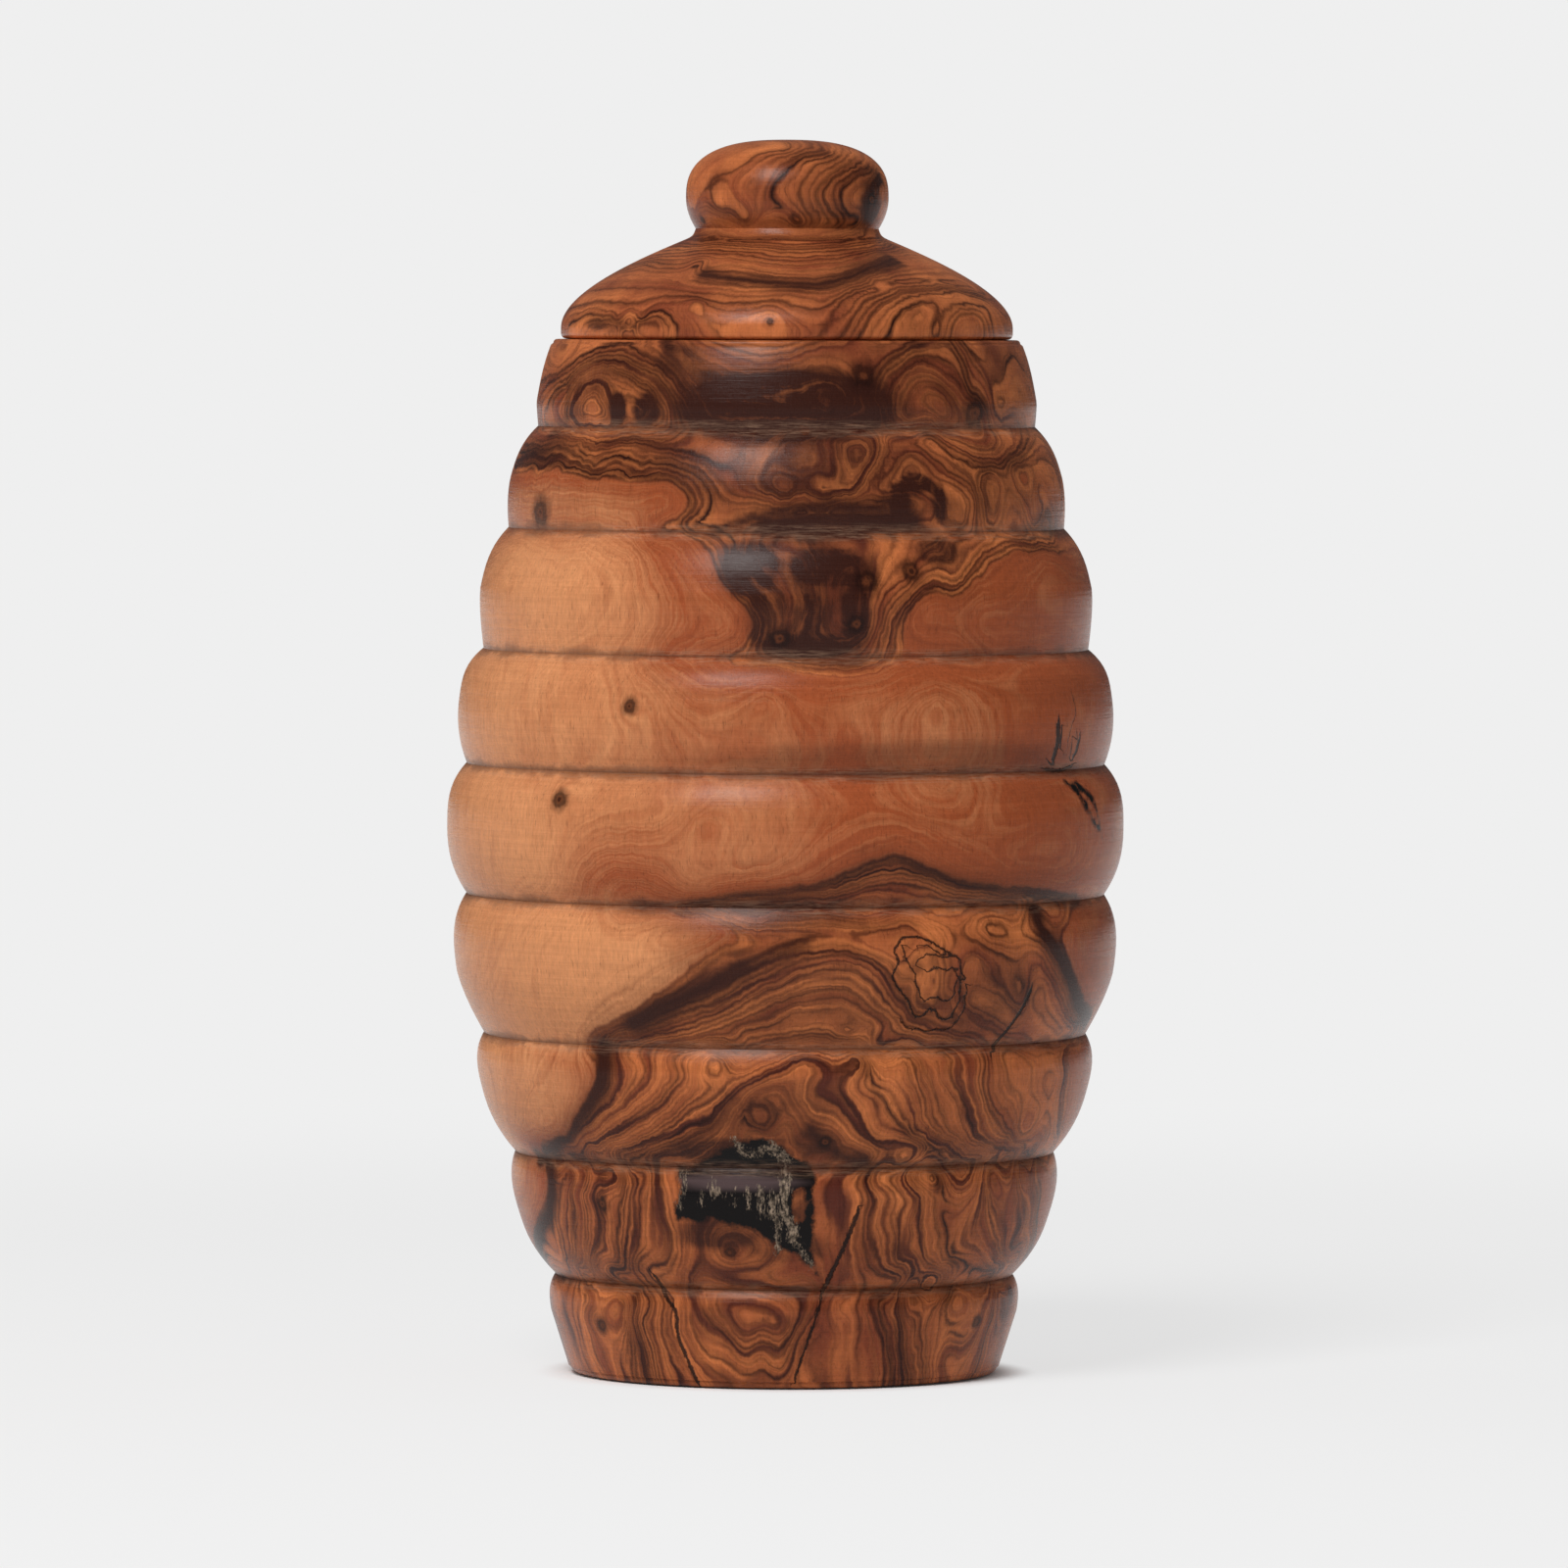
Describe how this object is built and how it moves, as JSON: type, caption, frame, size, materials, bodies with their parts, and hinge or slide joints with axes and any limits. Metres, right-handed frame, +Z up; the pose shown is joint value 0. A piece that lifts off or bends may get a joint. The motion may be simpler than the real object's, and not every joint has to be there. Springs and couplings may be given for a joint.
{
  "type": "honey pot",
  "caption": "Ribbed, barrel-shaped turned wooden honey pot with a domed drop-in lid, a round knob and a honey dipper fixed under the lid.",
  "frame": {"origin": "centre of the foot, in the plane that it stands on", "axes": "+Z up along the turning axis; -Y is the front, the side that the picture shows; +X is to the right of it"},
  "size_m": [0.09, 0.09, 0.1637],
  "materials": {
    "pot_wood": "waxed olive wood, satin",
    "lid_wood": "waxed olive wood, satin",
    "dipper_wood": "oiled olive wood, satin"
  },
  "bodies": {
    "pot": {"pot_body": "pot_wood"},
    "lid_with_dipper": {"lid": "lid_wood", "dipper": "dipper_wood"}
  },
  "joints": [
    {"name": "lid_lift", "type": "slide", "parent": "pot", "child": "lid_with_dipper", "axis": [0, 0, 1], "range_m": [0, 0.14]}
  ]
}
